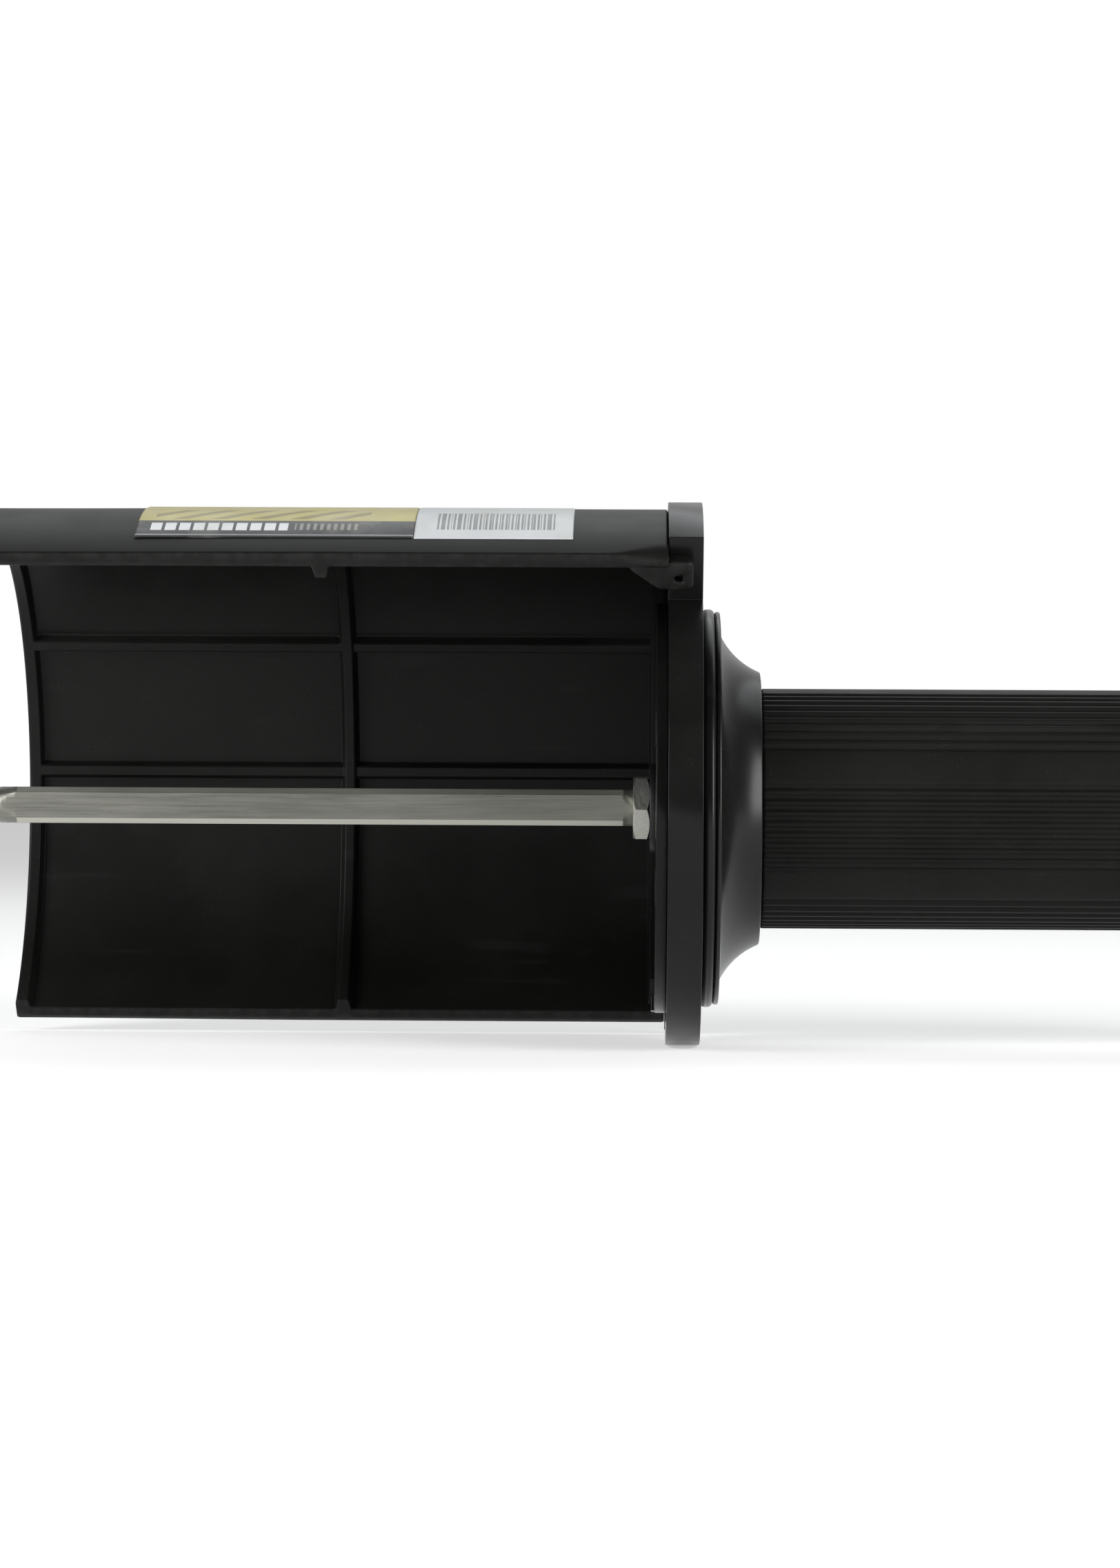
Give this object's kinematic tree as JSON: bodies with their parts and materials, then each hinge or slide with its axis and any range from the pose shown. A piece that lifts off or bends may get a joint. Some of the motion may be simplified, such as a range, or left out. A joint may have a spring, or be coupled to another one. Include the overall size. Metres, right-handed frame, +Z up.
{
  "type": "roller tool handle",
  "caption": "Hand tool with a ribbed half-tube guard on a swivelling end plate, a square steel spindle that spins in the handle, a flared hub and a fluted grip.",
  "frame": {"origin": "on the spindle's axis, at the guard side of the end plate, where the roller arbor begins", "axes": "+X along the spindle towards the grip, +Y away from the guard's open side, +Z up"},
  "size_m": [0.2528, 0.09, 0.09],
  "materials": {
    "guard_plastic": "black moulded plastic, satin gloss outside, finer grain inside",
    "plate_plastic": "black moulded plastic, satin gloss, softened edges",
    "hub_plastic": "black moulded plastic, semi gloss",
    "grip_plastic": "black hard rubber-like plastic, matte, fine lengthwise flutes",
    "nylon": "black nylon, matte",
    "spindle_steel": "bright drawn steel with a faint warm cast and light scratches along its length",
    "nut_steel": "plain steel, machined faces",
    "zinc_steel": "zinc plated steel",
    "black_steel": "blackened and oiled steel",
    "tube_aluminium": "drawn aluminium tube",
    "bronze": "sintered bronze",
    "label_band": "printed gloss sticker, yellow band with plain slanted stripes over a black strip",
    "label_white": "printed white sticker with plain vertical bars"
  },
  "bodies": {
    "handle": {"hub": "hub_plastic", "friction_ring": "nylon", "retaining_ring": "plate_plastic", "retaining_screws": "zinc_steel", "core_tube": "tube_aluminium", "core_pins": "spindle_steel", "front_bush": "bronze", "bush_carrier": "nylon", "rear_bush": "bronze", "grip": "grip_plastic", "end_plug": "nylon", "end_cap": "plate_plastic", "end_cap_screw": "zinc_steel"},
    "guard": {"guard_shell": "guard_plastic", "end_plate": "plate_plastic", "guard_screws": "zinc_steel", "front_label": "label_band", "code_label": "label_white"},
    "spindle": {"spindle": "spindle_steel", "jam_nut": "nut_steel", "drive_sleeve": "black_steel", "front_thrust_washer": "black_steel", "rear_thrust_washer": "black_steel", "circlip": "nut_steel"}
  },
  "joints": [
    {"name": "guard_swivel", "type": "hinge", "parent": "handle", "child": "guard", "pos_m": [0, 0, 0], "axis": [1, 0, 0], "continuous": true},
    {"name": "spindle_spin", "type": "hinge", "parent": "handle", "child": "spindle", "pos_m": [0, 0, 0], "axis": [1, 0, 0], "continuous": true}
  ]
}
